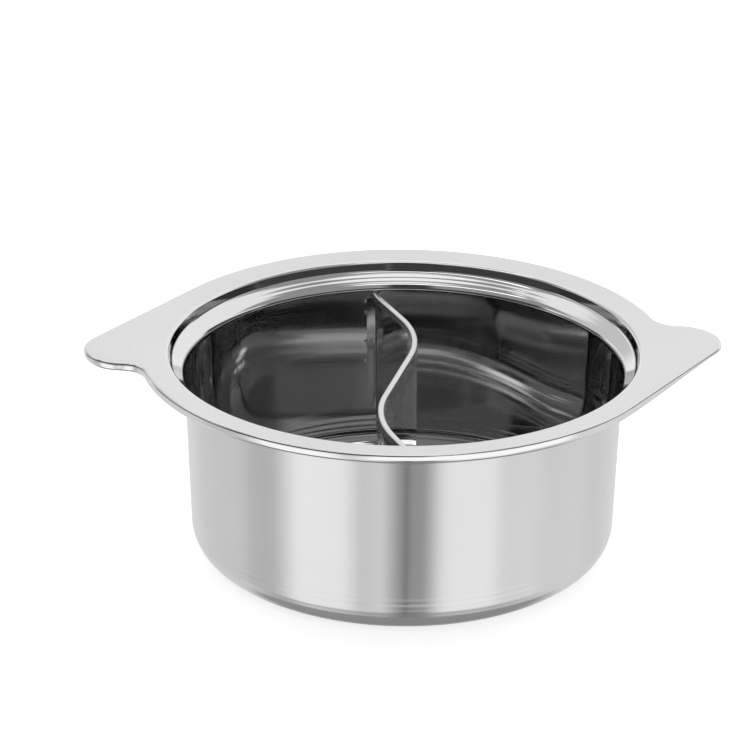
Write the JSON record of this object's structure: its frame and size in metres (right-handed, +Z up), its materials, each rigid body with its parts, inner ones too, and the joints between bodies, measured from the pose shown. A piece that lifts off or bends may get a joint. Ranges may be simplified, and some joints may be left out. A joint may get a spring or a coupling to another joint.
{
  "type": "divided hot pot",
  "caption": "Round steel hot pot with a wide flange, a turned-down lip, pointed ears and a fixed S-shaped divider that keeps broths apart in its bowl.",
  "frame": {"origin": "middle of the base, on the face the pot stands on", "axes": "+Z up; the ears point along +X and -X; the divider runs from -Y to +Y"},
  "size_m": [0.3468, 0.288, 0.118],
  "materials": {
    "satin_steel": "stainless steel, satin brushed outside and on the rim, polished inside",
    "polished_steel": "stainless steel sheet, polished bright"
  },
  "bodies": {
    "root": {"pot_body": "satin_steel", "divider": "polished_steel"}
  },
  "joints": []
}
